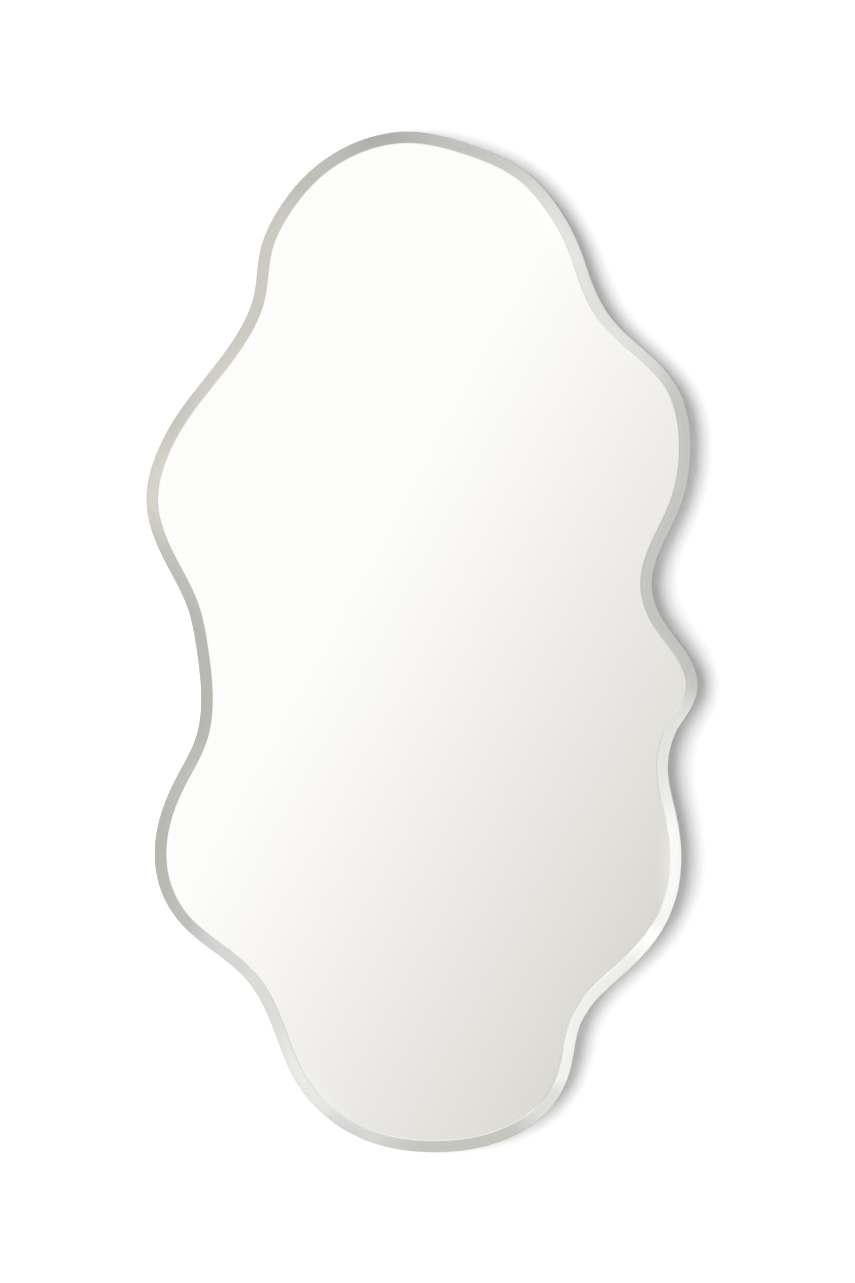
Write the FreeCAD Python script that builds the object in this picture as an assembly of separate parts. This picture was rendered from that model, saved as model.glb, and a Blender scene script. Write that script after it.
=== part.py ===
# Frameless wall mirror with a wavy outline and a bevelled edge, hung on a pair of Z rails.
# Millimetres. +Z is up, +X is to the right and the glass faces -Y.
# The wall is the plane y = 0, and the origin is the middle of the wall rail's back face.
# A depth is a distance from the wall towards the room.
import FreeCAD
import Part
import os

# Glass
mirror_width = 595.0
mirror_height = 1100.0
glass_thickness = 5.0
bevel_width = 12.7
edge_height = 2.2
arris = 0.4

# Coatings on the back of the glass, the film over them and the gap that the tape bridges
silver_thickness = 0.1
paint_thickness = 0.1
film_thickness = 0.2
film_inset = 6.0
tape_thickness = 1.0
tape_width = 19.0
tape_edge_distance = 65.0
bond_end_margin = 18.0
bead_width = 12.0
bead_break = 60.0

# Back board
board_thickness = 12.0
board_inset = 25.0
board_arris = 0.8

# The two Z rails have one section: a leg, a web that stands out from it, and a tongue
rail_thickness = 2.0
rail_leg_height = 24.0
rail_tongue_height = 14.0
rail_slot = 3.2
rail_edge_radius = 0.4
hanging_rail_length = 300.0
rail_drop = 280.0
hook_clearance = 0.3
rest_clearance = 0.3

# Holes for the wall screws, which aren't part of the mirror
wall_hole_spacing = 220.0
wall_hole_radius = 2.75

# Blocks at the ends of the hanging rail, which keep it from sliding along the wall rail
stop_width = 12.0
stop_side_play = 1.0
stop_corner_radius = 1.5

# Pan-head screws that hold the rail, the stops and the bumpers on the board
screw_radius = 2.0
screw_length = 12.0
screw_tip_length = 3.0
screw_head_radius = 3.8
screw_head_height = 2.3
screw_head_edge_radius = 1.1
screw_recess_length = 4.0
screw_recess_width = 0.9
screw_recess_depth = 1.3
screw_hole_clearance = 0.25
pilot_clearance = 0.05
pilot_extra_depth = 0.6
rail_screw_spacing = 80.0
rail_screw_count = 4

# Rubber bumpers that hold the lower part of the mirror off the wall
bumper_base_radius = 11.0
bumper_face_radius = 9.5
bumper_edge_radius = 0.8
bumper_recess_radius = 5.8
bumper_floor = 2.5
bumper_edge_distance = 34.0
lower_bumper_height = 110.0
middle_bumper_height = 480.0
washer_radius = 5.0
washer_thickness = 0.8

# Every cut runs past the face that it opens by this much
overrun = 1.0

# Two directions are taken as parallel where their unit vectors' product is over this
parallel_share = 0.999

# The outline runs clockwise from its highest point, as seen from the room.
# Each pair is a share of the width from the left and a share of the height from the bottom.
outline_shares = [
    (0.472, 1.000), (0.580, 0.989), (0.688, 0.961), (0.742, 0.930), (0.784, 0.889),
    (0.818, 0.840), (0.855, 0.810), (0.914, 0.781), (0.966, 0.747), (0.987, 0.695),
    (0.968, 0.632), (0.933, 0.591), (0.917, 0.557), (0.929, 0.530), (0.965, 0.501),
    (0.993, 0.476), (1.000, 0.457), (0.990, 0.437), (0.963, 0.414), (0.946, 0.376),
    (0.962, 0.328), (0.970, 0.284), (0.946, 0.228), (0.873, 0.178), (0.816, 0.149),
    (0.784, 0.120), (0.773, 0.090), (0.742, 0.049), (0.640, 0.010), (0.528, 0.000),
    (0.416, 0.008), (0.322, 0.036), (0.265, 0.074), (0.228, 0.123), (0.181, 0.169),
    (0.064, 0.223), (0.023, 0.262), (0.020, 0.318), (0.054, 0.367), (0.091, 0.409),
    (0.099, 0.450), (0.090, 0.496), (0.076, 0.531), (0.041, 0.571), (0.009, 0.610),
    (0.000, 0.642), (0.013, 0.677), (0.055, 0.722), (0.138, 0.781), (0.172, 0.809),
    (0.194, 0.838), (0.206, 0.883), (0.243, 0.927), (0.298, 0.962), (0.377, 0.989),
]
stations_per_point = 4

# A closed curve is cut into edges of so many outline points each, which keeps its faces simple
points_per_edge = 5

# Depths of the faces in the stack, from the wall to the front of the glass
tongue_back = rail_slot - hook_clearance - rail_thickness
board_back = rail_slot - hook_clearance + rail_slot
board_front = board_back + board_thickness
film_back = board_front + tape_thickness
paint_back = film_back + film_thickness
silver_back = paint_back + paint_thickness
glass_back = silver_back + silver_thickness
glass_front = glass_back + glass_thickness

# Heights above the origin
mirror_top = rail_drop
mirror_bottom = mirror_top - mirror_height
mirror_middle = (mirror_top + mirror_bottom) / 2
wall_web_top = rail_leg_height / 2
hanging_tongue_bottom = wall_web_top + rest_clearance
hanging_row_height = rail_leg_height + rail_tongue_height + rest_clearance
hanging_rail_top = hanging_row_height + rail_leg_height / 2

wall_rail_length = hanging_rail_length - 2 * stop_side_play
screw_hole_radius = screw_radius + screw_hole_clearance
rail_screw_seat = board_back - rail_thickness
stop_screw_seat = tongue_back + screw_head_height + hook_clearance
bumper_screw_seat = board_back - bumper_floor - washer_thickness

towards_wall = FreeCAD.Vector(0, 1, 0)
towards_room = FreeCAD.Vector(0, -1, 0)
along_rail = FreeCAD.Vector(1, 0, 0)


def place(x, depth, z):
    return FreeCAD.Vector(x, -depth, z)


def box(low_x, high_x, low_depth, high_depth, low_z, high_z):
    size_x = high_x - low_x
    size_depth = high_depth - low_depth
    size_z = high_z - low_z
    return Part.makeBox(size_x, size_depth, size_z, place(low_x, high_depth, low_z))


def rod(radius, x, low_depth, high_depth, z):
    start = place(x, low_depth, z)
    return Part.makeCylinder(radius, high_depth - low_depth, start, towards_room)


def edges_along(shape, direction):
    found = []
    for edge in shape.Edges:
        tangent = edge.tangentAt(edge.FirstParameter)
        if abs(tangent.dot(direction)) > parallel_share:
            found.append(edge)
    return found


# The round edge of a disc or cone that is nearest the wall
def wall_side_rim(shape):
    return [edge for edge in shape.Edges if edge.Closed and edge.CenterOfMass.y > shape.CenterOfMass.y]


# The edge of the glass as one closed curve, and the stations where it is read
def outline_curve():
    corners = []
    for share_x, share_z in outline_shares:
        x = mirror_width * share_x - mirror_width / 2
        z = mirror_bottom + mirror_height * share_z
        corners.append(place(x, 0, z))
    curve = Part.BSplineCurve()
    curve.interpolate(Points=corners, PeriodicFlag=True)
    return curve


outline = outline_curve()


def station_parameters():
    knots = outline.getKnots()
    parameters = []
    for start, end in zip(knots[:-1], knots[1:]):
        for step in range(stations_per_point):
            parameters.append(start + (end - start) * step / stations_per_point)
    return parameters, knots[-1]


parameters, last_parameter = station_parameters()


# Points a steady distance inside the edge, measured square to it
def inset_points(inset, depth):
    points = []
    for parameter in parameters:
        on_edge = outline.value(parameter)
        inward = towards_wall.cross(outline.tangent(parameter)[0])
        inward.normalize()
        moved = on_edge + inward * inset
        points.append(place(moved.x, depth, moved.z))
    return points


def inset_wire(inset, depth):
    curve = Part.BSplineCurve()
    curve.interpolate(
        Points=inset_points(inset, depth),
        PeriodicFlag=True,
        Parameters=parameters + [last_parameter],
    )
    ends = parameters[::stations_per_point * points_per_edge] + [last_parameter]
    return Part.Wire([curve.toShape(start, end) for start, end in zip(ends[:-1], ends[1:])])


# A sheet that follows the outline, from its wall side to its room side
def outline_sheet(inset, low_depth, high_depth):
    face = Part.Face(inset_wire(inset, low_depth))
    return face.extrude(towards_room * (high_depth - low_depth))


# Lowest and highest z inside the inset outline over a band of x, both sides of the middle
def clear_height(inset, low_x, high_x):
    above = []
    below = []
    for point in inset_points(inset, 0):
        if low_x <= point.x <= high_x:
            (above if point.z > mirror_middle else below).append(point.z)
    return max(below), min(above)


# Left and right ends of the inset outline over a band of z
def clear_width(inset, low_z, high_z):
    left = []
    right = []
    for point in inset_points(inset, 0):
        if low_z <= point.z <= high_z:
            (right if point.x > 0 else left).append(point.x)
    return max(left), min(right)


# Screw with a domed pan head, a cross recess and a plain shank that ends in a point
def screw(x, seat, z):
    head = rod(screw_head_radius, x, seat - screw_head_height, seat, z)
    head = head.makeFillet(screw_head_edge_radius, wall_side_rim(head))
    floor = seat - screw_head_height + screw_recess_depth
    half_length = screw_recess_length / 2
    half_width = screw_recess_width / 2
    top = seat - screw_head_height - overrun
    for across, up in ((half_length, half_width), (half_width, half_length)):
        head = head.cut(box(x - across, x + across, top, floor, z - up, z + up))
    shoulder = seat + screw_length - screw_tip_length
    shank = rod(screw_radius, x, seat, shoulder, z)
    tip = Part.makeCone(screw_radius, 0, screw_tip_length, place(x, shoulder, z), towards_room)
    return head.fuse([shank, tip]).removeSplitter()


def screw_hole(x, z):
    return rod(screw_hole_radius, x, -overrun, board_back + overrun, z)


# Places of the screws and bumpers, as (x, z)
def rail_screw_places():
    first = -rail_screw_spacing * (rail_screw_count - 1) / 2
    return [(first + rail_screw_spacing * n, hanging_row_height) for n in range(rail_screw_count)]


stop_centre = hanging_rail_length / 2 + stop_width / 2
stop_places = {"left": (-stop_centre, hanging_row_height), "right": (stop_centre, hanging_row_height)}


def bumper_pair(height_above_bottom):
    z = mirror_bottom + height_above_bottom
    left, right = clear_width(board_inset, z - bumper_base_radius, z + bumper_base_radius)
    reach = bumper_edge_distance - bumper_base_radius
    return (left + reach, z), (right - reach, z)


lower_left, lower_right = bumper_pair(lower_bumper_height)
middle_left, middle_right = bumper_pair(middle_bumper_height)
bumper_places = {
    "lower_left": lower_left,
    "lower_right": lower_right,
    "middle_left": middle_left,
    "middle_right": middle_right,
}


# Glass: the back arris, the polished edge, the bevel and the two flat faces
def mirror_glass():
    sections = [
        (arris, glass_back),
        (0, glass_back + arris),
        (0, glass_back + edge_height),
        (bevel_width, glass_front),
    ]
    wires = [inset_wire(inset, depth) for inset, depth in sections]
    return Part.makeLoft(wires, True, True)


# The silver and the paint over it reach the back arris, and the film stops short of it
def silver_coating():
    return outline_sheet(arris, silver_back, glass_back)


def protective_paint():
    return outline_sheet(arris, paint_back, silver_back)


def safety_film():
    return outline_sheet(film_inset, film_back, paint_back)


# The side strips of tape stand off the narrowest places of the board in the middle half of its height
def tape_places():
    quarter = mirror_height / 4
    left, right = clear_width(board_inset, mirror_middle - quarter, mirror_middle + quarter)
    return {"left": left + tape_edge_distance, "centre": 0, "right": right - tape_edge_distance}


# Strip of foam tape between the film and the board
def foam_tape(x):
    low_x = x - tape_width / 2
    high_x = x + tape_width / 2
    low_z, high_z = clear_height(board_inset + bond_end_margin, low_x, high_x)
    return box(low_x, high_x, board_front, film_back, low_z, high_z)


# A bead of mastic that is pressed flat, with round ends
def mastic_bead(x, low_z, high_z):
    radius = bead_width / 2
    middle = box(x - radius, x + radius, board_front, film_back, low_z + radius, high_z - radius)
    ends = [rod(radius, x, board_front, film_back, z) for z in (low_z + radius, high_z - radius)]
    return middle.fuse(ends).removeSplitter()


def mastic_beads():
    strips = tape_places()
    beads = []
    for x in (strips["left"] / 2, strips["right"] / 2):
        inset = board_inset + bond_end_margin
        low_z, high_z = clear_height(inset, x - tape_width / 2, x + tape_width / 2)
        beads.append(mastic_bead(x, low_z, mirror_middle - bead_break / 2))
        beads.append(mastic_bead(x, mirror_middle + bead_break / 2, high_z))
    return Part.makeCompound(beads)


# Board behind the glass, with its back edge eased and a blind pilot hole for each screw
def back_board():
    sections = [
        (board_inset + board_arris, board_back),
        (board_inset, board_back + board_arris),
        (board_inset, board_front),
    ]
    wires = [inset_wire(inset, depth) for inset, depth in sections]
    board = Part.makeLoft(wires, True, True)
    radius = screw_radius + pilot_clearance
    bottom = rail_screw_seat + screw_length + pilot_extra_depth
    places = rail_screw_places() + list(stop_places.values()) + list(bumper_places.values())
    return board.cut([rod(radius, x, board_back - overrun, bottom, z) for x, z in places])


# Z section of a rail that lies on the wall, with the foot of its leg at height zero
def rail_section():
    leg_top = rail_leg_height
    web_bottom = rail_leg_height - rail_thickness
    tongue_top = rail_leg_height + rail_tongue_height
    tongue_front = rail_slot + rail_thickness
    corners = [
        (0, 0),
        (rail_thickness, 0),
        (rail_thickness, web_bottom),
        (tongue_front, web_bottom),
        (tongue_front, tongue_top),
        (rail_slot, tongue_top),
        (rail_slot, leg_top),
        (0, leg_top),
    ]
    points = [place(0, depth, height) for depth, height in corners]
    return Part.Face(Part.makePolygon(points + [points[0]]))


def rail_bar(length):
    bar = rail_section().extrude(along_rail * length)
    bar.translate(FreeCAD.Vector(-length / 2, 0, -rail_leg_height / 2))
    return bar.makeFillet(rail_edge_radius, edges_along(bar, along_rail))


# Rail on the wall, whose tongue stands up
def wall_rail():
    holes = []
    for x in (-wall_hole_spacing / 2, wall_hole_spacing / 2):
        holes.append(rod(wall_hole_radius, x, -overrun, rail_thickness + overrun, 0))
    return rail_bar(wall_rail_length).cut(holes)


# Rail on the board: the same section turned end for end, so that its tongue hangs down
def hanging_rail():
    bar = rail_bar(hanging_rail_length)
    bar.rotate(FreeCAD.Vector(0, 0, 0), along_rail, 180)
    bar.translate(place(0, board_back, hanging_row_height))
    return bar.cut([screw_hole(x, z) for x, z in rail_screw_places()])


# Stop block, with its screw head sunk below its face
def rail_stop(side):
    x, z = stop_places[side]
    low_x = x - stop_width / 2
    high_x = x + stop_width / 2
    block = box(low_x, high_x, tongue_back, board_back, hanging_tongue_bottom, hanging_rail_top)
    block = block.makeFillet(stop_corner_radius, edges_along(block, towards_wall))
    counterbore_radius = screw_head_radius + screw_hole_clearance
    counterbore = rod(counterbore_radius, x, tongue_back - overrun, stop_screw_seat, z)
    return block.cut([screw_hole(x, z), counterbore])


# Bumper: a rubber foot with a recess for its washer and screw
def bumper(place_name):
    x, z = bumper_places[place_name]
    foot = Part.makeCone(bumper_face_radius, bumper_base_radius, board_back, place(x, 0, z), towards_room)
    foot = foot.makeFillet(bumper_edge_radius, wall_side_rim(foot))
    recess = rod(bumper_recess_radius, x, -overrun, board_back - bumper_floor, z)
    return foot.cut([recess, screw_hole(x, z)])


def bumper_washers():
    washers = []
    for x, z in bumper_places.values():
        disc = rod(washer_radius, x, bumper_screw_seat, bumper_screw_seat + washer_thickness, z)
        washers.append(disc.cut(screw_hole(x, z)))
    return Part.makeCompound(washers)


def screws_at(places, seat):
    return Part.makeCompound([screw(x, seat, z) for x, z in places])


nodes = {
    "mirror_glass": mirror_glass(),
    "silver_coating": silver_coating(),
    "protective_paint": protective_paint(),
    "safety_film": safety_film(),
    "mastic_beads": mastic_beads(),
    "back_board": back_board(),
    "hanging_rail": hanging_rail(),
    "hanging_rail_screws": screws_at(rail_screw_places(), rail_screw_seat),
    "rail_stop_left": rail_stop("left"),
    "rail_stop_right": rail_stop("right"),
    "rail_stop_screws": screws_at(stop_places.values(), stop_screw_seat),
    "bumper_washers": bumper_washers(),
    "bumper_screws": screws_at(bumper_places.values(), bumper_screw_seat),
    "wall_rail": wall_rail(),
}
for side, x in tape_places().items():
    nodes["foam_tape_" + side] = foam_tape(x)
for place_name in bumper_places:
    nodes["bumper_" + place_name] = bumper(place_name)

os.makedirs("parts", exist_ok=True)
for name, shape in nodes.items():
    shape.exportStep("parts/" + name + ".step")
    print(name, "solids", len(shape.Solids), "valid", shape.isValid(), "volume", round(shape.Volume, 1))
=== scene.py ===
# Frameless wall mirror: bevelled glass with a wavy edge on a set-back board, hung on a pair of Z rails.
# Metres. The wall is the plane y = 0, the glass faces -Y and +Z is up.
import math
import bmesh
import bpy
import numpy as np
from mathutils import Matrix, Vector


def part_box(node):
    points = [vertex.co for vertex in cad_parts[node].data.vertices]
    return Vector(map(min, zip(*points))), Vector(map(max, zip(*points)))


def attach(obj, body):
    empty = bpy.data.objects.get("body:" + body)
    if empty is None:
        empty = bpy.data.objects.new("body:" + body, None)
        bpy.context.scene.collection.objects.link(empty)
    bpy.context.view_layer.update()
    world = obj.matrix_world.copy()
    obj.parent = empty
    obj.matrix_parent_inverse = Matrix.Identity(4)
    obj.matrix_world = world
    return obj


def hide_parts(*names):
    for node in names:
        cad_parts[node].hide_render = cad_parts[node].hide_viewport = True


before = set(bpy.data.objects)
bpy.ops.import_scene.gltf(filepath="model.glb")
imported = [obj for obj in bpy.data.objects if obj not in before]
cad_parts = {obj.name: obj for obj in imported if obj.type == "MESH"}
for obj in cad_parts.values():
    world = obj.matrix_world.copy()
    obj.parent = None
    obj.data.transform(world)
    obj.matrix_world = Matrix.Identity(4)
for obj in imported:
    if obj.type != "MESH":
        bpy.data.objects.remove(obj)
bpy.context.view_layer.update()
mm = 0.001
hungBody = "hung_mirror"
print("frame loaded:", len(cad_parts), "nodes")


# sRGB hex code to the linear colour that a socket takes
def hexToLinear(code):
    parts = [int(code[i:i + 2], 16) / 255 for i in (1, 3, 5)]
    return [c / 12.92 if c <= 0.04045 else ((c + 0.055) / 1.055) ** 2.4 for c in parts] + [1]


# adds one node: settings are its properties, inputs are values or sockets to link
def addNode(tree, kind, inputs=None, **settings):
    node = tree.nodes.new(kind)
    for name, value in settings.items():
        setattr(node, name, value)
    for socket, value in (inputs or {}).items():
        if isinstance(value, bpy.types.NodeSocket):
            tree.links.new(value, node.inputs[socket])
        else:
            node.inputs[socket].default_value = value
    return node


# 1 for a ray that comes by way of a glossy reflection or through glass, and 0 for any other
def bouncedRay(tree, path):
    return addNode(tree, "ShaderNodeMath", {
        0: path.outputs["Is Glossy Ray"],
        1: path.outputs["Is Transmission Ray"],
    }, operation="MAXIMUM").outputs[0]


def addToScene(name, data):
    thing = bpy.data.objects.new(name, data)
    bpy.context.scene.collection.objects.link(thing)
    return thing


def startMaterial(name):
    material = bpy.data.materials.new(name)
    material.use_nodes = True
    material.node_tree.nodes.clear()
    return material, material.node_tree


# Materials

# float glass: clear and smooth both ways, with the faint green that shows along a cut edge
def floatGlass(name="float glass, polished", roughness=0.0):
    material, tree = startMaterial(name)
    shader = addNode(tree, "ShaderNodeBsdfPrincipled", {
        "Base Color": hexToLinear("#ffffff"),
        "Roughness": roughness,
        "IOR": 1.52,                      # soda-lime glass
        "Transmission Weight": 1.0,
    })
    tint = addNode(tree, "ShaderNodeVolumeAbsorption", {
        "Color": hexToLinear("#00d4a2"),  # iron takes red first, so long paths look green
        "Density": 1.2,
    })
    addNode(tree, "ShaderNodeOutputMaterial", {"Surface": shader.outputs[0], "Volume": tint.outputs[0]})
    return material


# silver laid on glass by spraying: a perfect mirror, very slightly warm
def silveredMirror():
    material, tree = startMaterial("silvered mirror")
    shader = addNode(tree, "ShaderNodeBsdfPrincipled", {
        "Base Color": hexToLinear("#fefefd"),
        "Metallic": 1.0,
        "Roughness": 0.0,
    })
    addNode(tree, "ShaderNodeOutputMaterial", {"Surface": shader.outputs[0]})
    return material


# curtain-coated backing paint: satin grey-green with long faint flow lines
def backingPaint():
    material, tree = startMaterial("mirror backing paint")
    place = addNode(tree, "ShaderNodeTexCoord")
    stretch = addNode(tree, "ShaderNodeMapping", {
        "Vector": place.outputs["Object"],
        "Scale": (260, 260, 12),          # flow lines 4 mm apart and some 80 mm long
    })
    flow = addNode(tree, "ShaderNodeTexNoise", {"Vector": stretch.outputs[0], "Scale": 1.0, "Detail": 3.0})
    tone = addNode(tree, "ShaderNodeMix", {
        0: flow.outputs["Fac"],
        6: hexToLinear("#68716e"),
        7: hexToLinear("#76807c"),
    }, data_type="RGBA")
    bump = addNode(tree, "ShaderNodeBump", {
        "Height": flow.outputs["Fac"],
        "Distance": 0.04 * mm,
        "Strength": 0.5,
    })
    shader = addNode(tree, "ShaderNodeBsdfPrincipled", {
        "Base Color": tone.outputs[2],
        "Roughness": 0.42,
        "IOR": 1.5,
        "Normal": bump.outputs[0],
    })
    addNode(tree, "ShaderNodeOutputMaterial", {"Surface": shader.outputs[0]})
    return material


# scrim-reinforced polyethylene film: milky grey with a 5 mm mesh of threads that stands out a little
def safetyFilm():
    material, tree = startMaterial("scrim-reinforced safety film")
    place = addNode(tree, "ShaderNodeTexCoord")
    turn = addNode(tree, "ShaderNodeMapping", {
        "Vector": place.outputs["Object"],
        "Rotation": (0, math.radians(45), 0),
    })
    threads = []
    for direction in ("Z", "X"):
        threads.append(addNode(tree, "ShaderNodeTexWave", {
            "Vector": turn.outputs[0],
            "Scale": 2 * math.pi / (20 * 5 * mm),   # one thread every 5 mm; 20 is the texture's own factor
        }, bands_direction=direction, wave_profile="SIN"))
    both = addNode(tree, "ShaderNodeMath", {
        0: threads[0].outputs["Fac"],
        1: threads[1].outputs["Fac"],
    }, operation="MAXIMUM")
    thread = addNode(tree, "ShaderNodeMapRange", {
        0: both.outputs[0], 1: 0.9, 2: 1.0, 3: 0.0, 4: 1.0,
    }, interpolation_type="SMOOTHSTEP")
    tone = addNode(tree, "ShaderNodeMix", {
        0: thread.outputs[0],
        6: hexToLinear("#c9cdcc"),
        7: hexToLinear("#dfe2e1"),
    }, data_type="RGBA")
    bump = addNode(tree, "ShaderNodeBump", {
        "Height": thread.outputs[0],
        "Distance": 0.08 * mm,
        "Strength": 0.6,
    })
    shader = addNode(tree, "ShaderNodeBsdfPrincipled", {
        "Base Color": tone.outputs[2],
        "Roughness": 0.38,
        "IOR": 1.51,                      # polyethylene
        "Normal": bump.outputs[0],
    })
    addNode(tree, "ShaderNodeOutputMaterial", {"Surface": shader.outputs[0]})
    return material


# MDF: sanded brown board, matt, with short fibres and darker flecks
def mdfBoard():
    material, tree = startMaterial("MDF, sanded")
    place = addNode(tree, "ShaderNodeTexCoord")
    fibre = addNode(tree, "ShaderNodeTexNoise", {
        "Vector": place.outputs["Object"],
        "Scale": 900.0,                   # fibres about 1 mm long
        "Detail": 6.0,
        "Roughness": 0.7,
    })
    cloud = addNode(tree, "ShaderNodeTexNoise", {
        "Vector": place.outputs["Object"],
        "Scale": 14.0,                    # soft clouds some 70 mm wide
        "Detail": 2.0,
    })
    ground = addNode(tree, "ShaderNodeMix", {
        0: cloud.outputs["Fac"],
        6: hexToLinear("#ad8c64"),
        7: hexToLinear("#bb9c72"),
    }, data_type="RGBA")
    fleck = addNode(tree, "ShaderNodeMapRange", {
        0: fibre.outputs["Fac"], 1: 0.34, 2: 0.62, 3: 0.0, 4: 1.0,
    })
    tone = addNode(tree, "ShaderNodeMix", {
        0: fleck.outputs[0],
        6: hexToLinear("#947450"),
        7: ground.outputs[2],
    }, data_type="RGBA")
    bump = addNode(tree, "ShaderNodeBump", {
        "Height": fibre.outputs["Fac"],
        "Distance": 0.06 * mm,
        "Strength": 0.5,
    })
    shader = addNode(tree, "ShaderNodeBsdfPrincipled", {
        "Base Color": tone.outputs[2],
        "Roughness": 0.85,
        "Normal": bump.outputs[0],
    })
    addNode(tree, "ShaderNodeOutputMaterial", {"Surface": shader.outputs[0]})
    return material


# rolled acrylic edge sealer: near black and satin, with the stipple of a foam roller
def sealedEdge():
    material, tree = startMaterial("MDF edge, sealed black")
    place = addNode(tree, "ShaderNodeTexCoord")
    stipple = addNode(tree, "ShaderNodeTexNoise", {
        "Vector": place.outputs["Object"],
        "Scale": 1300.0,                  # 0.8 mm roller stipple
        "Detail": 2.0,
    })
    tone = addNode(tree, "ShaderNodeMix", {
        0: stipple.outputs["Fac"],
        6: hexToLinear("#222324"),
        7: hexToLinear("#303132"),
    }, data_type="RGBA")
    bump = addNode(tree, "ShaderNodeBump", {
        "Height": stipple.outputs["Fac"],
        "Distance": 0.08 * mm,
        "Strength": 0.6,
    })
    shader = addNode(tree, "ShaderNodeBsdfPrincipled", {
        "Base Color": tone.outputs[2],
        "Roughness": 0.5,
        "Normal": bump.outputs[0],
    })
    addNode(tree, "ShaderNodeOutputMaterial", {"Surface": shader.outputs[0]})
    return material


# closed-cell polyethylene foam tape: matt white skin with fine open pores on its cut sides
def foamTape():
    material, tree = startMaterial("polyethylene foam tape")
    place = addNode(tree, "ShaderNodeTexCoord")
    cells = addNode(tree, "ShaderNodeTexVoronoi", {
        "Vector": place.outputs["Object"],
        "Scale": 2500.0,                  # cells 0.4 mm across
    })
    tone = addNode(tree, "ShaderNodeMix", {
        0: cells.outputs["Distance"],
        6: hexToLinear("#d6d6d2"),
        7: hexToLinear("#f0f0ec"),
    }, data_type="RGBA")
    bump = addNode(tree, "ShaderNodeBump", {
        "Height": cells.outputs["Distance"],
        "Distance": 0.1 * mm,
        "Strength": 0.7,
    })
    shader = addNode(tree, "ShaderNodeBsdfPrincipled", {
        "Base Color": tone.outputs[2],
        "Roughness": 0.9,
        "Normal": bump.outputs[0],
    })
    addNode(tree, "ShaderNodeOutputMaterial", {"Surface": shader.outputs[0]})
    return material


# gun-applied mirror mastic: smooth beige rubber with slight ripples where it was squeezed
def mirrorMastic():
    material, tree = startMaterial("mirror mastic")
    place = addNode(tree, "ShaderNodeTexCoord")
    ripple = addNode(tree, "ShaderNodeTexNoise", {
        "Vector": place.outputs["Object"],
        "Scale": 220.0,                   # ripples 4 to 5 mm long
        "Detail": 2.0,
    })
    tone = addNode(tree, "ShaderNodeMix", {
        0: ripple.outputs["Fac"],
        6: hexToLinear("#bdb29d"),
        7: hexToLinear("#d0c6b2"),
    }, data_type="RGBA")
    bump = addNode(tree, "ShaderNodeBump", {
        "Height": ripple.outputs["Fac"],
        "Distance": 0.2 * mm,
        "Strength": 0.5,
    })
    shader = addNode(tree, "ShaderNodeBsdfPrincipled", {
        "Base Color": tone.outputs[2],
        "Roughness": 0.48,
        "IOR": 1.41,                      # silicone rubber
        "Normal": bump.outputs[0],
    })
    addNode(tree, "ShaderNodeOutputMaterial", {"Surface": shader.outputs[0]})
    return material


# extruded aluminium, satin anodised: cool grey metal with fine die lines along its length
def anodisedAluminium():
    material, tree = startMaterial("anodised aluminium, extruded")
    place = addNode(tree, "ShaderNodeTexCoord")
    along = addNode(tree, "ShaderNodeMapping", {
        "Vector": place.outputs["Object"],
        "Scale": (6, 1600, 1600),         # die lines 0.6 mm apart, which is as fine as can show
    })
    lines = addNode(tree, "ShaderNodeTexNoise", {"Vector": along.outputs[0], "Scale": 1.0, "Detail": 4.0})
    tone = addNode(tree, "ShaderNodeMix", {
        0: lines.outputs["Fac"],
        6: hexToLinear("#b9bbbd"),
        7: hexToLinear("#d3d5d6"),
    }, data_type="RGBA")
    gloss = addNode(tree, "ShaderNodeMapRange", {0: lines.outputs["Fac"], 3: 0.28, 4: 0.42})
    bump = addNode(tree, "ShaderNodeBump", {
        "Height": lines.outputs["Fac"],
        "Distance": 0.03 * mm,
        "Strength": 0.5,
    })
    shader = addNode(tree, "ShaderNodeBsdfPrincipled", {
        "Base Color": tone.outputs[2],
        "Metallic": 1.0,
        "Roughness": gloss.outputs[0],
        "Normal": bump.outputs[0],
    })
    addNode(tree, "ShaderNodeOutputMaterial", {"Surface": shader.outputs[0]})
    return material


# zinc-plated steel: bright bluish metal, cloudy from the plating bath
def zincPlatedSteel():
    material, tree = startMaterial("zinc-plated steel")
    place = addNode(tree, "ShaderNodeTexCoord")
    cloud = addNode(tree, "ShaderNodeTexNoise", {
        "Vector": place.outputs["Object"],
        "Scale": 450.0,                   # clouds 2 mm across
        "Detail": 3.0,
    })
    tone = addNode(tree, "ShaderNodeMix", {
        0: cloud.outputs["Fac"],
        6: hexToLinear("#aab1b8"),
        7: hexToLinear("#cfd2d2"),
    }, data_type="RGBA")
    gloss = addNode(tree, "ShaderNodeMapRange", {0: cloud.outputs["Fac"], 3: 0.2, 4: 0.38})
    shader = addNode(tree, "ShaderNodeBsdfPrincipled", {
        "Base Color": tone.outputs[2],
        "Metallic": 1.0,
        "Roughness": gloss.outputs[0],
    })
    addNode(tree, "ShaderNodeOutputMaterial", {"Surface": shader.outputs[0]})
    return material


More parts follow.
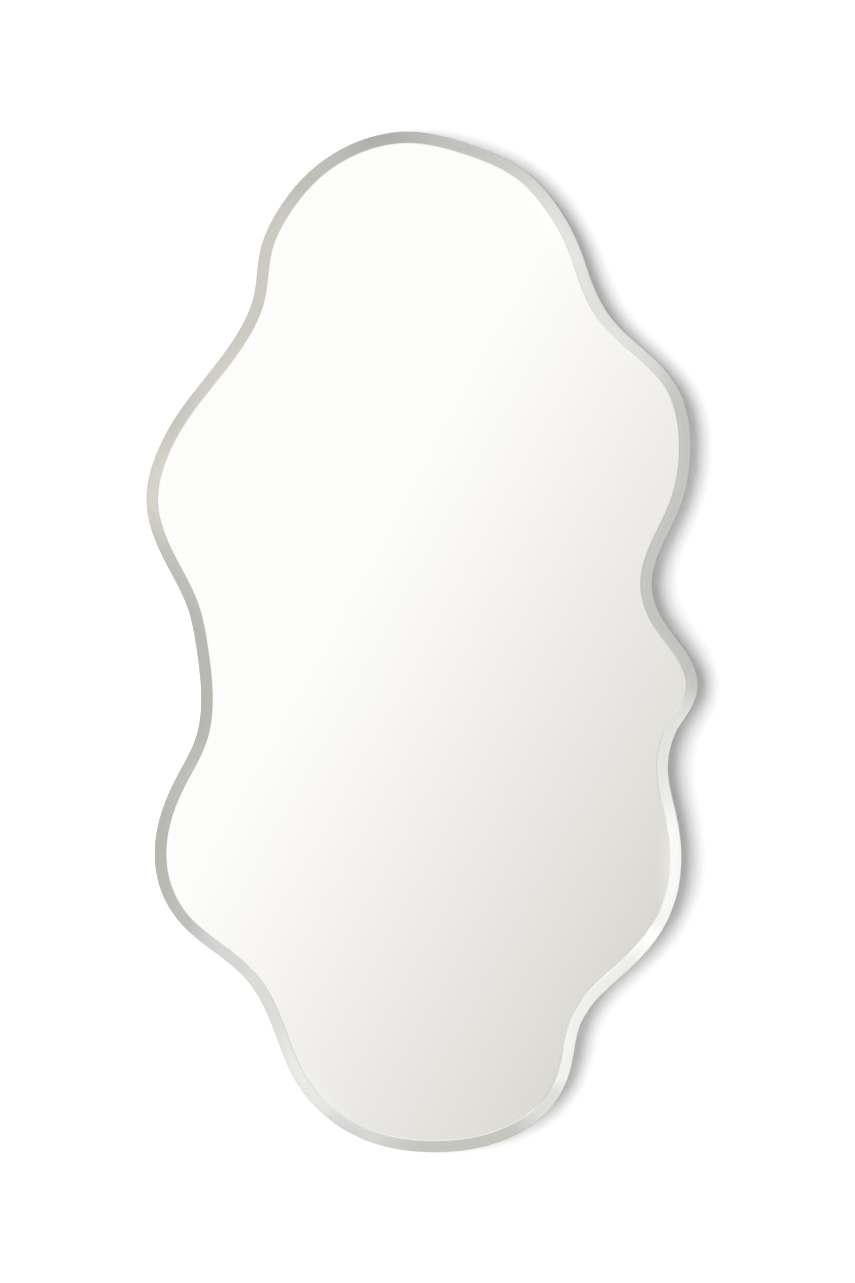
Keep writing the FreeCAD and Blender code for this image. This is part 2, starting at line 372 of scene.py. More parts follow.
# moulded nylon: black with a low sheen and the fine grain of the mould
def mouldedNylon():
    material, tree = startMaterial("nylon, moulded")
    place = addNode(tree, "ShaderNodeTexCoord")
    grain = addNode(tree, "ShaderNodeTexNoise", {
        "Vector": place.outputs["Object"],
        "Scale": 2200.0,                  # spark-eroded grain, 0.45 mm
        "Detail": 2.0,
    })
    tone = addNode(tree, "ShaderNodeMix", {
        0: grain.outputs["Fac"],
        6: hexToLinear("#202022"),
        7: hexToLinear("#2d2d2f"),
    }, data_type="RGBA")
    bump = addNode(tree, "ShaderNodeBump", {
        "Height": grain.outputs["Fac"],
        "Distance": 0.03 * mm,
        "Strength": 0.5,
    })
    shader = addNode(tree, "ShaderNodeBsdfPrincipled", {
        "Base Color": tone.outputs[2],
        "Roughness": 0.45,
        "IOR": 1.53,                      # polyamide
        "Normal": bump.outputs[0],
    })
    addNode(tree, "ShaderNodeOutputMaterial", {"Surface": shader.outputs[0]})
    return material


# moulded rubber: soft black with a dusty bloom
def mouldedRubber():
    material, tree = startMaterial("rubber, moulded")
    place = addNode(tree, "ShaderNodeTexCoord")
    bloom = addNode(tree, "ShaderNodeTexNoise", {
        "Vector": place.outputs["Object"],
        "Scale": 350.0,                   # patches of bloom about 3 mm wide
        "Detail": 4.0,
    })
    tone = addNode(tree, "ShaderNodeMix", {
        0: bloom.outputs["Fac"],
        6: hexToLinear("#1c1c1d"),
        7: hexToLinear("#2d2d2e"),
    }, data_type="RGBA")
    bump = addNode(tree, "ShaderNodeBump", {
        "Height": bloom.outputs["Fac"],
        "Distance": 0.05 * mm,
        "Strength": 0.4,
    })
    shader = addNode(tree, "ShaderNodeBsdfPrincipled", {
        "Base Color": tone.outputs[2],
        "Roughness": 0.68,
        "IOR": 1.52,
        "Normal": bump.outputs[0],
    })
    addNode(tree, "ShaderNodeOutputMaterial", {"Surface": shader.outputs[0]})
    return material


polishedGlass = floatGlass()
groundGlass = floatGlass("float glass, ground arris", 0.35)
silver = silveredMirror()
paint = backingPaint()
film = safetyFilm()
mdf = mdfBoard()
edgeSealer = sealedEdge()
foam = foamTape()
mastic = mirrorMastic()
aluminium = anodisedAluminium()
zinc = zincPlatedSteel()
nylon = mouldedNylon()
rubber = mouldedRubber()
print("materials made")


# Outline

# the edge of the glass, clockwise from its highest point as seen from the room:
# each pair is a share of the width from the left and a share of the height from the bottom
outlineShares = [
    (0.472, 1.000), (0.580, 0.989), (0.688, 0.961), (0.742, 0.930), (0.784, 0.889),
    (0.818, 0.840), (0.855, 0.810), (0.914, 0.781), (0.966, 0.747), (0.987, 0.695),
    (0.968, 0.632), (0.933, 0.591), (0.917, 0.557), (0.929, 0.530), (0.965, 0.501),
    (0.993, 0.476), (1.000, 0.457), (0.990, 0.437), (0.963, 0.414), (0.946, 0.376),
    (0.962, 0.328), (0.970, 0.284), (0.946, 0.228), (0.873, 0.178), (0.816, 0.149),
    (0.784, 0.120), (0.773, 0.090), (0.742, 0.049), (0.640, 0.010), (0.528, 0.000),
    (0.416, 0.008), (0.322, 0.036), (0.265, 0.074), (0.228, 0.123), (0.181, 0.169),
    (0.064, 0.223), (0.023, 0.262), (0.020, 0.318), (0.054, 0.367), (0.091, 0.409),
    (0.099, 0.450), (0.090, 0.496), (0.076, 0.531), (0.041, 0.571), (0.009, 0.610),
    (0.000, 0.642), (0.013, 0.677), (0.055, 0.722), (0.138, 0.781), (0.172, 0.809),
    (0.194, 0.838), (0.206, 0.883), (0.243, 0.927), (0.298, 0.962), (0.377, 0.989),
]
outlineStep = 2.0 * mm

glassLow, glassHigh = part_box("mirror_glass")
mirrorMiddle = (glassLow.z + glassHigh.z) / 2


# closed cubic spline through the corners: points about one step apart, and the direction at each
def closedSpline(corners, step):
    ahead = np.roll(corners, -1, 0)
    spans = np.linalg.norm(ahead - corners, axis=1)
    count = len(corners)
    system = np.zeros((count, count))
    bend = np.zeros((count, 2))
    for i in range(count):
        before, after = spans[i - 1], spans[i]
        system[i, i - 1] = before
        system[i, i] = 2 * (before + after)
        system[i, (i + 1) % count] = after
        bend[i] = 6 * ((ahead[i] - corners[i]) / after - (corners[i] - corners[i - 1]) / before)
    curving = np.linalg.solve(system, bend)
    points, directions = [], []
    for i, span in enumerate(spans):
        start, end = corners[i], ahead[i]
        curveStart, curveEnd = curving[i], curving[(i + 1) % count]
        for t in np.linspace(0, span, max(3, round(span / step)), endpoint=False):
            rest = span - t
            points.append(
                curveStart * rest ** 3 / (6 * span) + curveEnd * t ** 3 / (6 * span)
                + (start / span - curveStart * span / 6) * rest + (end / span - curveEnd * span / 6) * t
            )
            directions.append(
                curveEnd * t ** 2 / (2 * span) - curveStart * rest ** 2 / (2 * span)
                + (end - start) / span - (curveEnd - curveStart) * span / 6
            )
    return np.array(points), np.array(directions)


# the spline is fitted to the box of the glass, and each point gets a direction towards the inside
def readOutline():
    size = np.array([glassHigh.x - glassLow.x, glassHigh.z - glassLow.z])
    points, directions = closedSpline(np.array(outlineShares) * size, outlineStep)
    low, high = points.min(0), points.max(0)
    points = (points - low) * size / (high - low) + [glassLow.x, glassLow.z]
    directions /= np.linalg.norm(directions, axis=1)[:, None]
    inward = np.stack([directions[:, 1], -directions[:, 0]], 1)
    return points, inward


edgePoints, edgeInward = readOutline()
print("outline read:", len(edgePoints), "points")


# Building

def makePiece(name, mesh, materials, body, replaced):
    bmesh.ops.recalc_face_normals(mesh, faces=mesh.faces)
    data = bpy.data.meshes.new(name)
    mesh.to_mesh(data)
    mesh.free()
    for material in materials:
        data.materials.append(material)
    piece = addToScene(name, data)
    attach(piece, body)
    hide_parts(*replaced)


# joins rings of corners into a closed skin; a sharp ring keeps its edge crisp
def skinRings(mesh, rings, sharp, bandSlots, capSlots):
    loops = [[mesh.verts.new(corner) for corner in ring] for ring in rings]
    for band, (lower, upper) in enumerate(zip(loops[:-1], loops[1:])):
        for i in range(len(lower)):
            j = (i + 1) % len(lower)
            face = mesh.faces.new((lower[i], lower[j], upper[j], upper[i]))
            face.smooth = True
            face.material_index = bandSlots[band]
    for loop, slot in zip((loops[0], loops[-1]), capSlots):
        mesh.faces.new(loop).material_index = slot
    for index in sharp:
        for a, b in zip(loops[index], loops[index][1:] + loops[index][:1]):
            mesh.edges.get((a, b)).smooth = False


# rings that follow the outline, from (inset from the edge of the glass, distance from the wall)
def outlineRings(sections):
    return [
        [(x, -depth, z) for x, z in edgePoints + edgeInward * inset]
        for inset, depth in sections
    ]


# how far inside the edge of the glass a node's own edge lies
def insetOf(node):
    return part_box(node)[0].x - glassLow.x


# Glass

glass = {
    "bevelWidth": 12.7 * mm,
    "edgeHeight": 2.2 * mm,       # from the back of the glass to the foot of the bevel
    "backArris": 0.4 * mm,
    "frontArris": 0.25 * mm,
    "ridgeWidth": 0.06 * mm,      # rounding that polishing leaves where the bevel meets the face
    "ridgeSteps": 2,
    "silverGap": 0.02 * mm,       # keeps the back of the glass off the front of the silver
}


# the back face is silvered itself, so that no air shows between the glass and the silver
def bevelledGlass():
    back, front = -glassHigh.y, -glassLow.y
    foot = back + glass["edgeHeight"]
    slope = (front - foot) / glass["bevelWidth"]
    arris = glass["frontArris"]
    half = glass["ridgeWidth"] / 2
    sections = [
        (glass["backArris"], back + glass["silverGap"]),
        (0, back + glass["backArris"]),
        (0, foot - arris),
        (arris, foot + slope * arris),
    ]
    for step in range(glass["ridgeSteps"] + 1):
        t = step / glass["ridgeSteps"]
        inset = glass["bevelWidth"] - half + 2 * half * t
        sections.append((inset, front - slope * half * (1 - t) ** 2))
    mesh = bmesh.new()
    bands = [1, 0, 1] + [0] * (glass["ridgeSteps"] + 1)
    last = len(sections) - 1
    skinRings(mesh, outlineRings(sections), (0, 1, 2, 3, 4, last), bands, (2, 0))
    materials = [polishedGlass, groundGlass, silver]
    makePiece("bevelled_glass", mesh, materials, hungBody, ["mirror_glass"])


# a thin even sheet in place of a node, with its edge where the node has it
def evenSheet(name, node, material):
    low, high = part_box(node)
    inset = insetOf(node)
    mesh = bmesh.new()
    skinRings(mesh, outlineRings([(inset, -high.y), (inset, -low.y)]), (0, 1), (0,), (0, 0))
    makePiece(name, mesh, [material], hungBody, [node])


bevelledGlass()
evenSheet("silver_layer", "silver_coating", silver)
evenSheet("paint_layer", "protective_paint", paint)
evenSheet("film_layer", "safety_film", film)
print("glass and coatings made")


# Board

board = {
    "backRound": 0.8 * mm,
    "frontRound": 0.4 * mm,
    "roundSteps": 4,
}


def backBoard():
    low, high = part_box("back_board")
    back, front = -high.y, -low.y
    inset = insetOf("back_board")
    sections = []
    for step in range(board["roundSteps"] + 1):
        turn = math.pi / 2 * step / board["roundSteps"]
        radius = board["backRound"]
        sections.append((inset + radius * (1 - math.sin(turn)), back + radius * (1 - math.cos(turn))))
    for step in range(board["roundSteps"] + 1):
        turn = math.pi / 2 * step / board["roundSteps"]
        radius = board["frontRound"]
        sections.append((inset + radius * (1 - math.cos(turn)), front - radius * (1 - math.sin(turn))))
    mesh = bmesh.new()
    bands = [1] * (len(sections) - 1)
    skinRings(mesh, outlineRings(sections), (0, len(sections) - 1), bands, (0, 0))
    makePiece("mdf_board", mesh, [mdf, edgeSealer], hungBody, ["back_board"])


backBoard()
print("board made")


# Tape and mastic

bond = {
    "tapeBulge": 0.15 * mm,       # the sides of the foam swell where it is pressed
    "bulgeSteps": 4,
    "beadWaist": 0.5 * mm,        # the faces of a bead are narrower than its middle
    "beadWobble": 0.7 * mm,
    "beadWave": 38 * mm,
    "sideLag": 2.0,               # half the lag, in radians, between the waves of a bead's two sides
    "beadLag": 40.0,              # radians per metre across the board, so that no two beads match
    "beadRows": 120,
    "beadEndSteps": 14,
}


# strip of foam whose long sides bulge between its two faces
def tapeStrip(name, node):
    low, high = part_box(node)
    back, front = -high.y, -low.y
    steps = bond["bulgeSteps"]
    section = []
    for side in (1, -1):
        for step in range(steps + 1):
            t = step / steps if side == 1 else 1 - step / steps
            bulge = bond["tapeBulge"] * math.sin(math.pi * t)
            middle = (low.x + high.x) / 2
            reach = (high.x - low.x) / 2 - bond["tapeBulge"] + bulge
            section.append((middle + side * reach, back + (front - back) * t))
    rings = [[(x, -depth, z) for x, depth in section] for z in (low.z, high.z)]
    mesh = bmesh.new()
    skinRings(mesh, rings, (0, 1), (0,), (0, 0))
    makePiece(name, mesh, [foam], hungBody, [node])


# box of each bead in the node, found by side and by half
def beadBoxes():
    corners = np.array([v.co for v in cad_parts["mastic_beads"].data.vertices])
    boxes = []
    for side in (-1, 1):
        for half in (-1, 1):
            own = corners[(corners[:, 0] * side > 0) & ((corners[:, 2] - mirrorMiddle) * half > 0)]
            boxes.append((own.min(0), own.max(0)))
    return boxes


# squeezed bead: round ends, wavy sides and a swollen middle
def beadRings(low, high):
    radius = (high[0] - low[0]) / 2
    middle = (low[0] + high[0]) / 2
    rows = np.linspace(low[2] + radius, high[2] - radius, bond["beadRows"])
    path = []
    for side, sideRows, endZ in ((1, rows, rows[-1]), (-1, rows[::-1], rows[0])):
        for z in sideRows:
            path.append((middle + side * radius, z, side, 0))
        firstTurn = 0 if side == 1 else math.pi
        for turn in np.linspace(firstTurn, firstTurn + math.pi, bond["beadEndSteps"])[1:-1]:
            outX, outZ = math.cos(turn), math.sin(turn)
            path.append((middle + radius * outX, endZ + radius * outZ, outX, outZ))
    rings = []
    steps = bond["bulgeSteps"]
    for step in range(steps + 1):
        t = step / steps
        depth = -high[1] + (high[1] - low[1]) * t
        drawnIn = bond["beadWaist"] * (1 - math.sin(math.pi * t))
        ring = []
        for x, z, outX, outZ in path:
            lag = bond["sideLag"] * outX + bond["beadLag"] * middle
            wave = math.sin(2 * math.pi * z / bond["beadWave"] + lag)
            shift = -drawnIn - bond["beadWobble"] * (0.5 + 0.5 * wave)
            ring.append((x + outX * shift, -depth, z + outZ * shift))
        rings.append(ring)
    return rings


def masticBeads():
    mesh = bmesh.new()
    steps = bond["bulgeSteps"]
    for low, high in beadBoxes():
        skinRings(mesh, beadRings(low, high), (0, steps), [0] * steps, (0, 0))
    makePiece("squeezed_mastic", mesh, [mastic], hungBody, ["mastic_beads"])


for side in ("left", "centre", "right"):
    tapeStrip("tape_strip_" + side, "foam_tape_" + side)
masticBeads()
print("tape and mastic made")


# Bumpers

bumper = {
    "baseRadius": 11.0 * mm,
    "faceRadius": 9.5 * mm,
    "faceRound": 0.8 * mm,
    "baseLip": 0.5 * mm,          # thin moulded lip that seals on the board
    "recessRadius": 5.8 * mm,
    "recessRound": 0.4 * mm,
    "holeRadius": 2.25 * mm,
    "floor": 2.5 * mm,
    "segments": 64,
    "roundSteps": 5,
    "crispFrom": 35,              # degrees between two faces whose edge stays crisp
}


# half section of the foot as (radius, distance from the wall), from the screw hole round to the board
def bumperSection(height):
    floorDepth = height - bumper["floor"]
    corner = bumper["recessRound"]
    section = [
        (bumper["holeRadius"], height),
        (bumper["holeRadius"], floorDepth),
        (bumper["recessRadius"] - corner, floorDepth),
    ]
    steps = bumper["roundSteps"]
    for step in range(1, steps + 1):
        turn = math.pi / 2 * step / steps
        section.append((bumper["recessRadius"] - corner * (1 - math.sin(turn)),
                        floorDepth - corner * (1 - math.cos(turn))))
    for step in range(steps + 1):
        turn = math.pi / 2 * step / steps
        section.append((bumper["recessRadius"] + corner * (1 - math.cos(turn)),
                        corner * (1 - math.sin(turn))))
    edge = bumper["faceRound"]
    for step in range(steps + 1):
        turn = math.pi / 2 * step / steps
        section.append((bumper["faceRadius"] - edge * (1 - math.sin(turn)), edge * (1 - math.cos(turn))))
    lip = bumper["baseLip"]
    section += [
        (bumper["baseRadius"] - lip, height - 2 * lip),
        (bumper["baseRadius"], height - lip),
        (bumper["baseRadius"], height),
    ]
    return section


def rubberFoot(name, node):
    low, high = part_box(node)
    centreX, centreZ = (low.x + high.x) / 2, (low.z + high.z) / 2
    section = bumperSection(-low.y)
    mesh = bmesh.new()
    loops = []
    for radius, depth in section:
        loop = []
        for n in range(bumper["segments"]):
            turn = 2 * math.pi * n / bumper["segments"]
            loop.append(mesh.verts.new((centreX + radius * math.cos(turn), -depth,
                                        centreZ + radius * math.sin(turn))))
        loops.append(loop)
    for lower, upper in zip(loops, loops[1:] + loops[:1]):
        for n in range(bumper["segments"]):
            m = (n + 1) % bumper["segments"]
            mesh.faces.new((lower[n], lower[m], upper[m], upper[n])).smooth = True
    for edge in mesh.edges:
        if len(edge.link_faces) == 2 and edge.calc_face_angle() > math.radians(bumper["crispFrom"]):
            edge.smooth = False
    makePiece(name, mesh, [rubber], hungBody, [node])


for place in ("lower_left", "lower_right", "middle_left", "middle_right"):
    rubberFoot("rubber_foot_" + place, "bumper_" + place)
print("bumpers made")


# Rails, stops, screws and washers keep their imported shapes

carriedOver = {
    "wall_rail": aluminium,
    "hanging_rail": aluminium,
    "rail_stop_left": nylon,
    "rail_stop_right": nylon,
    "hanging_rail_screws": zinc,
    "rail_stop_screws": zinc,
    "bumper_screws": zinc,
    "bumper_washers": zinc,
}
for node, material in carriedOver.items():
    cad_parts[node].data.materials[0] = material
print("metal and nylon parts finished")


# Stage

stage = {
    "wallHalfWidth": 2.7,
    "wallTop": 2.0,
    "wallGap": 0.2 * mm,          # keeps the wall off the back faces that rest on it
    "floorLevel": -1.77,
    "floorFront": 6.0,
    "floorBack": 4.0,
    "wallColour": "#f8f8f8",
    "wallGlow": 0.3,
    "floorColour": "#dcdbd9",
    "floorGlow": 0.3,
}


# painted surface of the room; it glows a little for rays that look at it, and can't be seen from behind
def roomPaint(name, colour, glow):
    material, tree = startMaterial(name)
    path = addNode(tree, "ShaderNodeLightPath")
    side = addNode(tree, "ShaderNodeNewGeometry")
    paintCoat = addNode(tree, "ShaderNodeBsdfDiffuse", {"Color": hexToLinear(colour)})
    looked = addNode(tree, "ShaderNodeMath", {
        0: path.outputs["Is Camera Ray"],
        1: bouncedRay(tree, path),
    }, operation="MAXIMUM")
    strength = addNode(tree, "ShaderNodeMath", {0: looked.outputs[0], 1: glow}, operation="MULTIPLY")
    light = addNode(tree, "ShaderNodeEmission", {"Strength": strength.outputs[0]})
    lit = addNode(tree, "ShaderNodeAddShader", {0: paintCoat.outputs[0], 1: light.outputs[0]})
    # what has come through the wall from behind goes on through the floor
    passed = addNode(tree, "ShaderNodeMath", {
        0: path.outputs["Transparent Depth"],
        1: 0.5,
    }, operation="GREATER_THAN")
    behind = addNode(tree, "ShaderNodeMath", {
        0: side.outputs["Backfacing"],
        1: passed.outputs[0],
    }, operation="MAXIMUM")
    clear = addNode(tree, "ShaderNodeBsdfTransparent")
    mix = addNode(tree, "ShaderNodeMixShader", {
        0: behind.outputs[0],
        1: lit.outputs[0],
        2: clear.outputs[0],
    })
    addNode(tree, "ShaderNodeOutputMaterial", {"Surface": mix.outputs[0]})
    return material


def stagePlane(name, corners, material):
    data = bpy.data.meshes.new(name)
    data.from_pydata(corners, [], [(0, 1, 2, 3)])
    data.materials.append(material)
    plane = addToScene(name, data)
    return plane


def buildStage():
    half, top, floor = stage["wallHalfWidth"], stage["wallTop"], stage["floorLevel"]
    gap = stage["wallGap"]
    wallPaint = roomPaint("wall paint", stage["wallColour"], stage["wallGlow"])
    floorPaint = roomPaint("floor paint", stage["floorColour"], stage["floorGlow"])
    wallCorners = [(-half, gap, floor), (half, gap, floor), (half, gap, top), (-half, gap, top)]
    stagePlane("wall", wallCorners, wallPaint)
    front, back = -stage["floorFront"], stage["floorBack"]
    floorCorners = [(-half, front, floor), (half, front, floor), (half, back, floor), (-half, back, floor)]
    ground = stagePlane("floor", floorCorners, floorPaint)
    ground.visible_glossy = False         # the mirror shows the soft room instead, which has no edges
    ground.visible_transmission = False
    ground.visible_shadow = False         # the window light reaches below the floor


buildStage()
print("wall and floor made")


# Camera

# straight on, far back, with the frame that the photograph has on the front of the glass
camera = {
    "distance": 6.5,
    "frameHeight": 1.3824,        # the image is 1283 pixels high, of 1.0775 mm each
    "sensorHeight": 24.0,
    "right": 5.9 * mm,            # the mirror hangs a little left of the middle of the frame
    "up": 0.5 * mm,
}


def setCamera():
    data = bpy.data.cameras.new("camera")
    data.sensor_fit = "VERTICAL"
    data.sensor_height = camera["sensorHeight"]
    data.lens = camera["sensorHeight"] * camera["distance"] / camera["frameHeight"]
    viewer = addToScene("camera", data)
    viewer.location = (camera["right"], glassLow.y - camera["distance"], mirrorMiddle + camera["up"])
    viewer.rotation_euler = (math.pi / 2, 0, 0)
    bpy.context.scene.camera = viewer


setCamera()
bpy.context.scene.view_settings.view_transform = "Standard"
print("camera set")


# Light

# soft cards round the room, in degrees right of and above the line that looks straight out of the mirror;
# the bevel sees the ones about ten degrees out, and the face sees the middle; the first card is the dim rim
# round that middle, which only the last half millimetre of the bevel sees; a core share is how far from its
# middle a card or a lamp has its full tone
studioCards = [
    {"right": 0.0, "up": 0.0, "halfWidth": 6.8, "halfHeight": 7.0, "coreShare": 0.8, "tone": "#a3a29d"},
    {"right": -12.0, "up": 0.0, "halfWidth": 9.0, "halfHeight": 12.0, "coreShare": 0.1, "tone": "#c6c5c3"},
    {"right": 12.0, "up": 0.0, "halfWidth": 9.0, "halfHeight": 12.0, "coreShare": 0.3, "tone": "#b8b8b2"},
    {"right": 6.5, "up": 6.8, "halfWidth": 3.5, "halfHeight": 3.5, "coreShare": 0.1, "tone": "#b0b0b0"},
    {"right": 2.5, "up": -9.5, "halfWidth": 8.0, "halfHeight": 6.0, "coreShare": 0.1, "tone": "#acaca8"},
]

studio = {
    "ring": "#c5c4c0",            # what stands round the middle
    "roomLight": "#e9e9e7",       # the rest of the room, in wide soft bands that slant as the face does
    "roomShade": "#bfbfbb",
    "roomBand": 20,               # degrees from one light band to the next
    "ceiling": "#f4f4f3",
    "ceilingFrom": -0.1,          # sines of the angles above level where the room turns to ceiling
    "ceilingTo": 0.9,
    "middleWidth": 4.2,           # degrees each way to where the face's slant has faded out
    "middleHeight": 7.2,
    "middleCoreShare": 0.75,
    "ringRadius": 15.0,           # degrees to where the ring begins to fade into the room
    "ringEdge": 30.0,
    "faceToneShares": [           # each tone with its share of the way across the face
        (0.12, "#fffefe"), (0.28, "#faf8f8"), (0.5, "#f0eeed"), (0.78, "#e3e1dd"), (1.0, "#d7d4d1"),
    ],
    "faceTurn": 28.7,             # the face darkens to the right and, by this angle, downwards
    "faceFrom": -1.5,             # degrees from straight out, along that slant
    "faceTo": 3.6,
    "ambient": 0.08,              # what the room adds to matt surfaces
    "depthWeight": 2,             # keeps a card from showing again on the opposite side of the room
}


def lookingTo(right, up):
    return Vector((math.tan(math.radians(right)), -1, math.tan(math.radians(up)))).normalized()


# 1 in the core of a card and 0 beyond its spread, in degrees each way
def softMask(tree, direction, centre, spread, coreShare):
    away = addNode(tree, "ShaderNodeVectorMath", {0: direction, 1: centre}, operation="SUBTRACT")
    scaled = addNode(tree, "ShaderNodeVectorMath", {
        0: away.outputs[0],
        1: (1 / math.sin(math.radians(spread[0])), studio["depthWeight"],
            1 / math.sin(math.radians(spread[1]))),
    }, operation="MULTIPLY")
    length = addNode(tree, "ShaderNodeVectorMath", {0: scaled.outputs[0]}, operation="LENGTH")
    return addNode(tree, "ShaderNodeMapRange", {
        0: length.outputs["Value"], 1: coreShare, 2: 1.0, 3: 1.0, 4: 0.0,
    }, interpolation_type="SMOOTHSTEP").outputs[0]


def studioWorld():
    world = bpy.data.worlds.new("studio")
    bpy.context.scene.world = world
    world.use_nodes = True
    tree = world.node_tree
    tree.nodes.clear()
    direction = addNode(tree, "ShaderNodeTexCoord").outputs["Generated"]
    parts = addNode(tree, "ShaderNodeSeparateXYZ", {0: direction})
    height = addNode(tree, "ShaderNodeMapRange", {
        0: parts.outputs["Z"], 1: studio["ceilingFrom"], 2: studio["ceilingTo"], 3: 0.0, 4: 1.0,
    }, interpolation_type="SMOOTHSTEP")
    turn = math.radians(studio["faceTurn"])
    slant = addNode(tree, "ShaderNodeVectorMath", {
        0: direction,
        1: (math.cos(turn), 0, -math.sin(turn)),
    }, operation="DOT_PRODUCT")
    phase = addNode(tree, "ShaderNodeMath", {
        0: slant.outputs["Value"],
        1: 2 * math.pi / math.radians(studio["roomBand"]),
    }, operation="MULTIPLY")
    wave = addNode(tree, "ShaderNodeMath", {0: phase.outputs[0]}, operation="SINE")
    band = addNode(tree, "ShaderNodeMapRange", {0: wave.outputs[0], 1: -1.0, 2: 1.0, 3: 0.0, 4: 1.0})
    room = addNode(tree, "ShaderNodeMix", {
        0: band.outputs[0],
        6: hexToLinear(studio["roomShade"]),
        7: hexToLinear(studio["roomLight"]),
    }, data_type="RGBA")
    tone = addNode(tree, "ShaderNodeMix", {
        0: height.outputs[0],
        6: room.outputs[2],
        7: hexToLinear(studio["ceiling"]),
    }, data_type="RGBA").outputs[2]
    ahead = lookingTo(0, 0)
    ringShare = studio["ringRadius"] / studio["ringEdge"]
    ring = softMask(tree, direction, ahead, [studio["ringEdge"]] * 2, ringShare)
    tone = addNode(tree, "ShaderNodeMix", {0: ring, 6: tone, 7: hexToLinear(studio["ring"])},
                   data_type="RGBA").outputs[2]
    for card in studioCards:
        mask = softMask(tree, direction, lookingTo(card["right"], card["up"]),
                        (card["halfWidth"], card["halfHeight"]), card["coreShare"])
        tone = addNode(tree, "ShaderNodeMix", {0: mask, 6: tone, 7: hexToLinear(card["tone"])},
                       data_type="RGBA").outputs[2]
    along = addNode(tree, "ShaderNodeMapRange", {
        0: slant.outputs["Value"],
        1: math.sin(math.radians(studio["faceFrom"])),
        2: math.sin(math.radians(studio["faceTo"])),
        3: 0.0,
        4: 1.0,
    })
    face = addNode(tree, "ShaderNodeValToRGB", {0: along.outputs[0]})
    ramp = face.color_ramp.elements
    while len(ramp) < len(studio["faceToneShares"]):
        ramp.new(0.5)
    for stop, (place, code) in zip(ramp, studio["faceToneShares"]):
        stop.position = place
        stop.color = hexToLinear(code)
    middle = softMask(tree, direction, ahead, (studio["middleWidth"], studio["middleHeight"]),
                      studio["middleCoreShare"])
    tone = addNode(tree, "ShaderNodeMix", {0: middle, 6: tone, 7: face.outputs[0]},
                   data_type="RGBA").outputs[2]
    path = addNode(tree, "ShaderNodeLightPath")
    soft = addNode(tree, "ShaderNodeBackground", {
        "Color": hexToLinear("#ffffff"),
        "Strength": studio["ambient"],
    })
    seen = addNode(tree, "ShaderNodeBackground", {"Color": tone})
    white = addNode(tree, "ShaderNodeBackground", {"Color": hexToLinear("#ffffff")})
    reflected = addNode(tree, "ShaderNodeMixShader", {
        0: bouncedRay(tree, path),
        1: soft.outputs[0],
        2: seen.outputs[0],
    })
    shown = addNode(tree, "ShaderNodeMixShader", {
        0: path.outputs["Is Camera Ray"],
        1: reflected.outputs[0],
        2: white.outputs[0],
    })
    addNode(tree, "ShaderNodeOutputWorld", {"Surface": shown.outputs[0]})


lamps = {
    "window": {                   # tall light along the left, which throws the shadow to the right
        "power": 1030, "width": 11.2, "height": 8.0,
        "place": (-2.8, -6.4, -0.2), "target": (0, -6.4, -0.2), "inReflections": False,
    },
    "backLight": {                # for the back of the mirror, which the wall hides from the front
        "power": 140, "width": 2.0, "height": 1.5,
        "place": (1.6, 3.0, 1.0), "target": (0, 0, -0.27), "inReflections": True,
    },
}


def hangLamp(name, lamp):
    data = bpy.data.lights.new(name, "AREA")
    data.shape = "RECTANGLE"
    data.size = lamp["width"]
    data.size_y = lamp["height"]
    data.energy = lamp["power"]
    source = addToScene(name, data)
    source.location = lamp["place"]
    aim = Vector(lamp["target"]) - Vector(lamp["place"])
    source.rotation_euler = aim.to_track_quat("-Z", "Y").to_euler()
    source.visible_camera = False
    source.visible_glossy = lamp["inReflections"]
    source.visible_transmission = lamp["inReflections"]


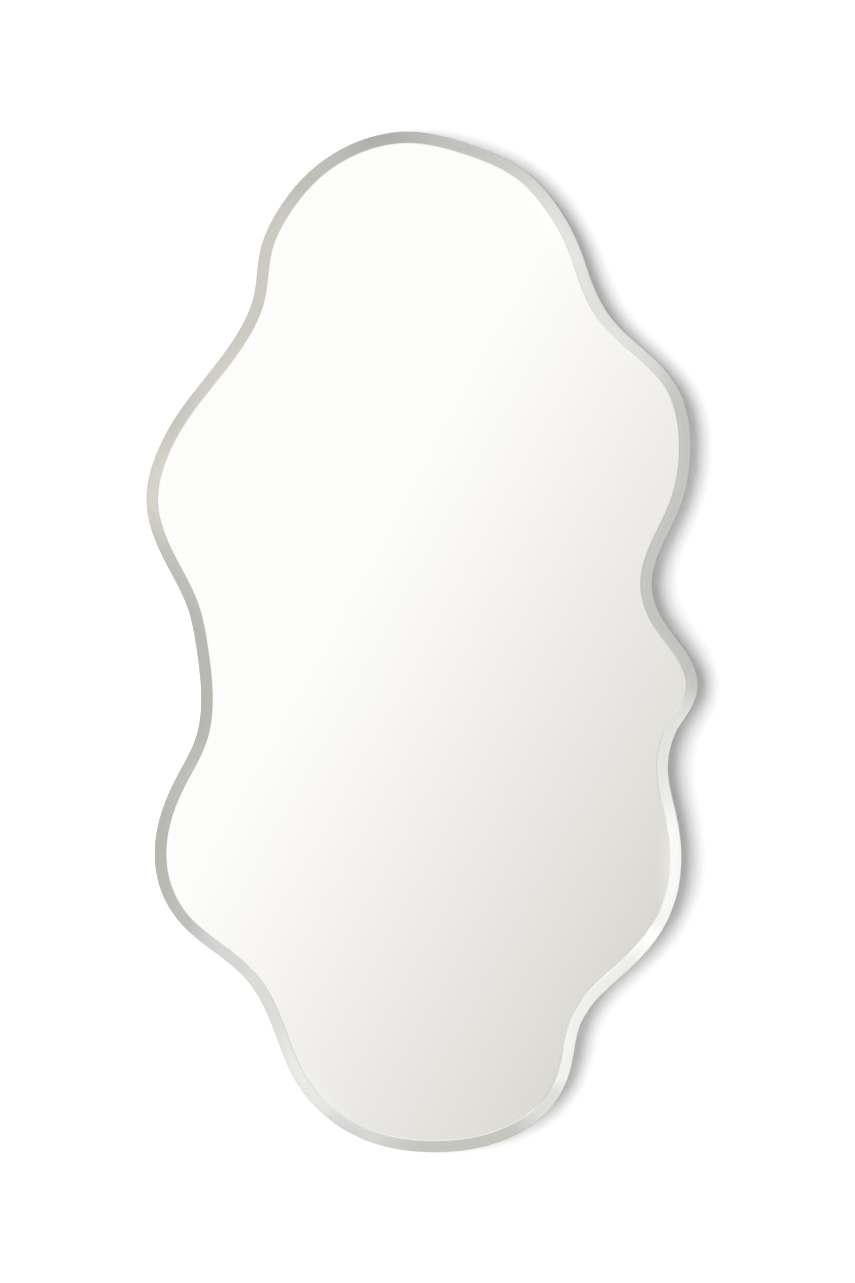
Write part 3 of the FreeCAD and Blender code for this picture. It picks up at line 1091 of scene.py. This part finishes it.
# soft lamps close in front of the mirror and just outside its outline, which mostly the front of the bevel
# picks up; the lamp on the right hangs at half the reach, because further out the views of the bends there
# cross; no two share a reach, because where they overlap at one distance only one of them would count
edgeLamps = {
    "right": {"right": 0.35, "up": -0.27, "reach": 0.15, "width": 0.20, "height": 0.48, "tilt": 0,
              "coreShare": 0.25, "glow": 9.1, "colour": "#ffffff"},
    "lowerRight": {"right": 0.325, "up": -0.485, "reach": 0.31, "width": 0.26, "height": 0.26, "tilt": 35,
                   "coreShare": 0.50, "glow": 7.6, "colour": "#ffffff"},
    "bottomRight": {"right": 0.245, "up": -0.63, "reach": 0.32, "width": 0.22, "height": 0.22, "tilt": 35,
                    "coreShare": 0.20, "glow": 4.4, "colour": "#ffffff"},
    "upperRight": {"right": 0.264, "up": 0.515, "reach": 0.33, "width": 0.28, "height": 0.54, "tilt": -41,
                   "coreShare": 0.05, "glow": 6.2, "colour": "#ffffff"},
    "lowerLeft": {"right": -0.243, "up": -0.592, "reach": 0.34, "width": 0.32, "height": 0.60, "tilt": -45,
                  "coreShare": 0.10, "glow": 8.6, "colour": "#ffffff"},
    "left": {"right": -0.45, "up": 0.20, "reach": 0.35, "width": 0.28, "height": 0.42, "tilt": 10,
             "coreShare": 0.20, "glow": 4.6, "colour": "#fff1e5"},
    "upperLeft": {"right": -0.325, "up": 0.48, "reach": 0.36, "width": 0.26, "height": 0.42, "tilt": 24,
                  "coreShare": 0.40, "glow": 3.0, "colour": "#fff1e5"},
}
edgeLampBeam = {
    "spread": 80,                 # degrees: narrow enough to stay out of the face in the other views
    "angle": 27,                  # degrees: where the bevel looks, so the glow is the one met there
}


def hangEdgeLamp(name, lamp):
    data = bpy.data.lights.new(name, "AREA")
    data.shape = "RECTANGLE"
    data.size = lamp["width"]
    data.size_y = lamp["height"]
    half = math.radians(edgeLampBeam["spread"] / 2)
    angle = math.radians(edgeLampBeam["angle"])
    gain = (math.tan(half) - math.tan(angle)) / (math.tan(half) - half)
    data.spread = 2 * half
    data.energy = math.pi * lamp["width"] * lamp["height"] * lamp["glow"] / gain
    data.color = hexToLinear(lamp["colour"])[:3]
    data.use_nodes = True
    tree = data.node_tree
    tree.nodes.clear()
    place = addNode(tree, "ShaderNodeNewGeometry")
    centred = addNode(tree, "ShaderNodeVectorMath", {
        0: place.outputs["Parametric"], 1: (0.5, 0.5, 0),
    }, operation="SUBTRACT")
    doubled = addNode(tree, "ShaderNodeVectorMath", {
        0: centred.outputs[0], 1: (2, 2, 0),
    }, operation="MULTIPLY")
    fromMiddle = addNode(tree, "ShaderNodeVectorMath", {0: doubled.outputs[0]}, operation="LENGTH")
    fade = addNode(tree, "ShaderNodeMapRange", {
        0: fromMiddle.outputs["Value"], 1: lamp["coreShare"], 2: 1.0, 3: 1.0, 4: 0.0,
    }, interpolation_type="SMOOTHSTEP")
    light = addNode(tree, "ShaderNodeEmission", {"Strength": fade.outputs[0]})
    addNode(tree, "ShaderNodeOutputLight", {"Surface": light.outputs[0]})
    source = addToScene(name, data)
    source.location = (camera["right"] + lamp["right"], glassLow.y - lamp["reach"], mirrorMiddle + lamp["up"])
    source.rotation_euler = (math.pi / 2, math.radians(lamp["tilt"]), 0)
    source.visible_camera = False
    source.visible_diffuse = False
    source.visible_transmission = False


studioWorld()
for name, lamp in lamps.items():
    hangLamp(name, lamp)
for name, lamp in edgeLamps.items():
    hangEdgeLamp(name, lamp)
print("light set")
